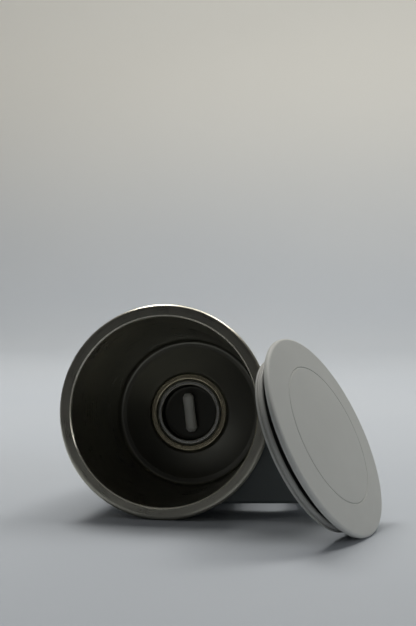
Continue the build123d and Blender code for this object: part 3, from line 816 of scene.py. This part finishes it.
class CUP_OT_lid(bpy.types.Operator):
    """Plug lid: domed cap with its fine ring, seal with two lips, and the inner disc"""

    bl_idname = "cup.lid"
    bl_label = "Lid"

    def execute(self, context):
        s, c = sizes(), colours()
        wall = 2.6
        plastic = lid_finish(c["lid"], s["flange_r"], s["neck_r"])
        piece = lathe("lid_cap_turned", LID, self.cap_line(s, wall), around=256, steps=5)
        settle(piece, "lid", ["lid_cap"], plastic)
        rubber = seal_finish(c["seal"], s["seal_r"])
        piece = lathe("lid_seal_turned", LID, self.seal_line(s), around=256, steps=6)
        settle(piece, "lid", ["lid_seal"], rubber)
        disc_r, disc_t = s["neck_r"] - wall - 0.05, 1.4
        disc = [
            (0, -NECK_H + 0.12, 0),
            (disc_r - 2.2, -NECK_H + 0.12, 0.6),
            (disc_r - 1.4, -NECK_H, 0.3),
            (disc_r, -NECK_H, 0.25),
            (disc_r, -NECK_H + disc_t, 0.2),
            (0, -NECK_H + disc_t, 0),
        ]
        piece = lathe("lid_inner_turned", LID, disc, around=192, steps=5)
        settle(piece, "lid", ["lid_inner"], plastic)
        return {"FINISHED"}

    def cap_line(self, s, wall):
        """Profile of the cap: the hollow plug, the flange, and a face that is part of a ball, so its
        height over the ball's centre is sqrt(ball^2 - r^2), with a fine ring let into it."""
        edge, neck = s["flange_r"], s["neck_r"]
        dome, bevel, ring, half, groove = 1.6, 0.6, 27.0, 0.3, 0.38
        face = edge - bevel
        ball = (face**2 + dome**2) / (2 * dome)
        outside, inside = np.linspace(face, ring + half, 9)[1:], np.linspace(ring - half, 0.0, 16)[:-1]

        def face_z(r):
            return (ball**2 - r**2) ** 0.5 - ball + dome

        def beside_ring(r):
            return 0.12 if abs(r - ring) < half + 0.01 else 0.0

        return [
            (0, -1.4, 0),
            (neck - wall, -1.9, 0.3),
            (neck - wall, -NECK_H, 0.35),
            (neck, -NECK_H, 0.35),
            (neck, -FLANGE_T, 0.5),
            (edge - bevel, -FLANGE_T, 0.4),
            (edge, -FLANGE_T + bevel, 0.5),
            (edge, -bevel, 0.6),
            (face, 0.0, 1.0),
            *((r, face_z(r), beside_ring(r)) for r in outside),
            (ring, face_z(ring) - groove, 0.08),
            *((r, face_z(r), beside_ring(r)) for r in inside),
            (0, dome, 0),
        ]

    def seal_line(self, s):
        """Profile of the seal: two lips with a channel between them."""
        neck, lip, top, channel = s["neck_r"] + 0.05, s["seal_r"], SEAL_TOP, 0.6
        low = top - 3.3
        return [
            (neck, top, 0.1),
            (lip - 0.3, top, 0.3),
            (lip, top - 0.45, 0.35),
            (lip, top - 1.0, 0.25),
            (lip - channel, top - 1.35, 0.15),
            (lip - channel, low + 1.35, 0.15),
            (lip - 0.1, low + 1.05, 0.25),
            (lip - 0.1, low + 0.5, 0.35),
            (lip - 0.5, low, 0.3),
            (neck, low, 0.1),
        ]


class CUP_OT_stirrer(bpy.types.Operator):
    """Magnetic stirring capsule that lies in the well"""

    bl_idname = "cup.stirrer"
    bl_label = "Stirring capsule"

    def execute(self, context):
        s, c = sizes(), colours()
        half, r, nose = s["capsule_len"] / 2, s["capsule_r"], 1.6
        line = [
            (0, -half, 0),
            (r * 0.55, -half, 0.7),
            (r, -half + nose, 1.4),
            (r - 0.12, 0.0, 12.0),
            (r, half - nose, 1.4),
            (r * 0.55, half, 0.7),
            (0, half, 0),
        ]
        piece = lathe("stir_capsule_turned", CAPSULE, line, around=96, steps=8)
        plastic = moulded("Capsule plastic", c["capsule"], CAPSULE, 0.42, 1.8, 0.01, 0.0)
        settle(piece, "capsule", ["stir_capsule"], plastic)
        return {"FINISHED"}


class CUP_OT_button(bpy.types.Operator):
    """Power button with a dished top"""

    bl_idname = "cup.button"
    bl_label = "Power button"

    def execute(self, context):
        s, c = sizes(), colours()
        height = CUP.local(node_points("power_button"))[:, 2]
        low, top, r, dish = height.min(), height.max(), s["button_r"], 0.58
        line = [
            (0, low, 0),
            (r, low, 0.2),
            (r, top - 0.1, 0.7),
            (r * 0.72, top, 0.6),
            (r * 0.62, top - 0.35, 0.6),
            (r * 0.3, top - dish + 0.03, 3.0),
            (0, top - dish, 0),
        ]
        piece = lathe("power_button_turned", BUTTON, line, around=96, steps=7)
        plastic = moulded("Button plastic", c["cover"], BUTTON, 0.36, 2.4, 0.01, 0.3)
        settle(piece, "button", ["power_button"], plastic)
        cover = moulded("Cover plastic", c["cover"], CUP, 0.5, 2.0, 0.03, 0.8)
        dress(frame["nodes"]["base_cover"], cover)
        return {"FINISHED"}


class CUP_OT_works(bpy.types.Operator):
    """Finishes of the parts inside: batteries, board, motor, rotor, magnets, screws"""

    bl_idname = "cup.works"
    bl_label = "Works"

    def execute(self, context):
        inner = moulded("Inner plastic", tone(72, 74, 76), CUP, 0.55, 1.6, 0.03, 0.3)
        steel = plated("Plated steel", tone(186, 186, 182), 0.26)
        magnet = plated("Magnet nickel", tone(128, 128, 126), 0.22, 0.8)
        finishes = {
            "battery_tray": inner,
            "motor_plate": inner,
            "drive_rotor": inner,
            "push_switch": inner,
            "batteries": cell_finish(),
            "contacts": steel,
            "motor_shaft": steel,
            "screws": steel,
            "circuit_board": board_finish(),
            "motor": motor_finish(),
            "shaft_bush": plated("Bronze", tone(178, 134, 82), 0.34, 1.6),
            "rotor_magnets": magnet,
            "capsule_magnet": magnet,
        }
        for node, material in finishes.items():
            dress(frame["nodes"][node], material)
        return {"FINISHED"}


# each lamp's name: where it is, what it faces, its two sides in metres, its watts and its tint
LAMPS = {
    "key_left": ((-0.34, 0.4, 0.88), (0.0, 0.0, 0.0), (0.3, 0.26), 3.4, (1.0, 0.985, 0.95)),
    "key_right": ((0.32, 0.45, 0.86), (0.0, 0.0, 0.0), (0.3, 0.26), 1.7, (1.0, 0.98, 0.94)),
    "top_glint": ((-0.25, -0.45, 1.0), (0.0, -0.08, 0.04), (0.2, 0.2), 0.3, (1.0, 0.99, 0.96)),
    "wall_wash": ((0.0, 0.42, 1.5), (0.0, 1.3, 0.45), (1.6, 0.3), 8.6, (1.0, 0.98, 0.93)),
    "back_wash": ((0.0, 0.72, 1.65), (0.0, 1.45, 0.5), (1.6, 0.3), 5.4, (1.0, 0.985, 0.95)),
    "side_fill": ((1.2, -0.35, 0.42), (0.05, -0.03, 0.04), (0.7, 0.5), 2.6, (0.97, 0.99, 1.0)),
}


class CUP_OT_stage(bpy.types.Operator):
    """Pale seamless background, soft lamps and the camera"""

    bl_idname = "cup.stage"
    bl_label = "Stage"

    def execute(self, context):
        c, scene = colours(), context.scene
        floor = sweep_floor("background", width=4.0, near=-1.6, back=0.85, bend=0.6, height=2.6)
        dress(floor, ground_finish(c["floor"], c["wall"]))
        scene.world = self.studio()
        for name, lamp in LAMPS.items():
            self.soft_light(scene, name, *lamp)
        self.take_view(scene)
        return {"FINISHED"}

    def studio(self):
        """World that glows faintly, and hardly at all on the side that the cup's mouth faces."""
        world = bpy.data.worlds.new("Studio")
        world.use_nodes = True
        tree = world.node_tree
        way = Wire.node(tree, "ShaderNodeTexCoord", out="Generated")
        split = Wire.node(tree, "ShaderNodeSeparateXYZ", values={0: way})
        away = split["Y"] * 0.98 - split["X"] * 0.2
        glow = 0.032 + away.step(-0.85, -0.2) * 0.075
        values = {"Color": (0.95, 0.97, 1.0, 1.0), "Strength": glow}
        sky = Wire.node(tree, "ShaderNodeBackground", {}, values)
        tree.links.new(sky.socket, tree.nodes["World Output"].inputs["Surface"])
        return world

    def soft_light(self, scene, name, at, aim, sides, watts, tint):
        """Rectangular lamp that faces a point."""
        lamp = bpy.data.lights.new(name, "AREA")
        lamp.shape = "RECTANGLE"
        lamp.size, lamp.size_y = sides
        lamp.energy, lamp.color = watts, tint
        holder = bpy.data.objects.new(name, lamp)
        holder.location = at
        holder.rotation_euler = (Vector(aim) - Vector(at)).to_track_quat("-Z", "Y").to_euler()
        scene.collection.objects.link(holder)

    def take_view(self, scene):
        """Camera a little above the cup's mouth, turned to its left."""
        view = bpy.data.cameras.new("camera")
        view.sensor_width, view.sensor_fit, view.lens = 36.0, "AUTO", 74.8
        view.clip_start = 0.01
        camera = bpy.data.objects.new("camera", view)
        camera.location = (0.0928, -0.5172, 0.1008)
        camera.rotation_euler = (radians(90 - 2.38), 0.0, radians(11.11))
        scene.collection.objects.link(camera)
        scene.camera = camera
        scene.view_settings.view_transform = "Standard"


STEPS = (
    CUP_OT_rim,
    CUP_OT_bowl,
    CUP_OT_body,
    CUP_OT_lid,
    CUP_OT_stirrer,
    CUP_OT_button,
    CUP_OT_works,
    CUP_OT_stage,
)


class CUP_PT_panel(bpy.types.Panel):
    """Sizes, colours and steps of the cup"""

    bl_idname = "CUP_PT_panel"
    bl_label = "Travel cup"
    bl_space_type = "VIEW_3D"
    bl_region_type = "UI"
    bl_category = "Cup"

    def draw(self, context):
        for group in (context.scene.cup_sizes, context.scene.cup_colours):
            box = self.layout.box()
            for key in type(group).__annotations__:
                box.prop(group, key)
        for step in STEPS:
            self.layout.operator(step.bl_idname)


CLASSES = (CupSizes, CupColours, *STEPS, CUP_PT_panel)


def register():
    for cls in CLASSES:
        bpy.utils.register_class(cls)
    bpy.types.Scene.cup_sizes = bpy.props.PointerProperty(type=CupSizes)
    bpy.types.Scene.cup_colours = bpy.props.PointerProperty(type=CupColours)


def unregister():
    del bpy.types.Scene.cup_colours
    del bpy.types.Scene.cup_sizes
    for cls in reversed(CLASSES):
        bpy.utils.unregister_class(cls)


def main():
    """Makes every piece in order."""
    register()
    for step in STEPS:
        if getattr(bpy.ops.cup, step.bl_idname.split(".")[1])() != {"FINISHED"}:
            raise RuntimeError(f"{step.bl_idname} did not finish")


if __name__ == "__main__":
    main()
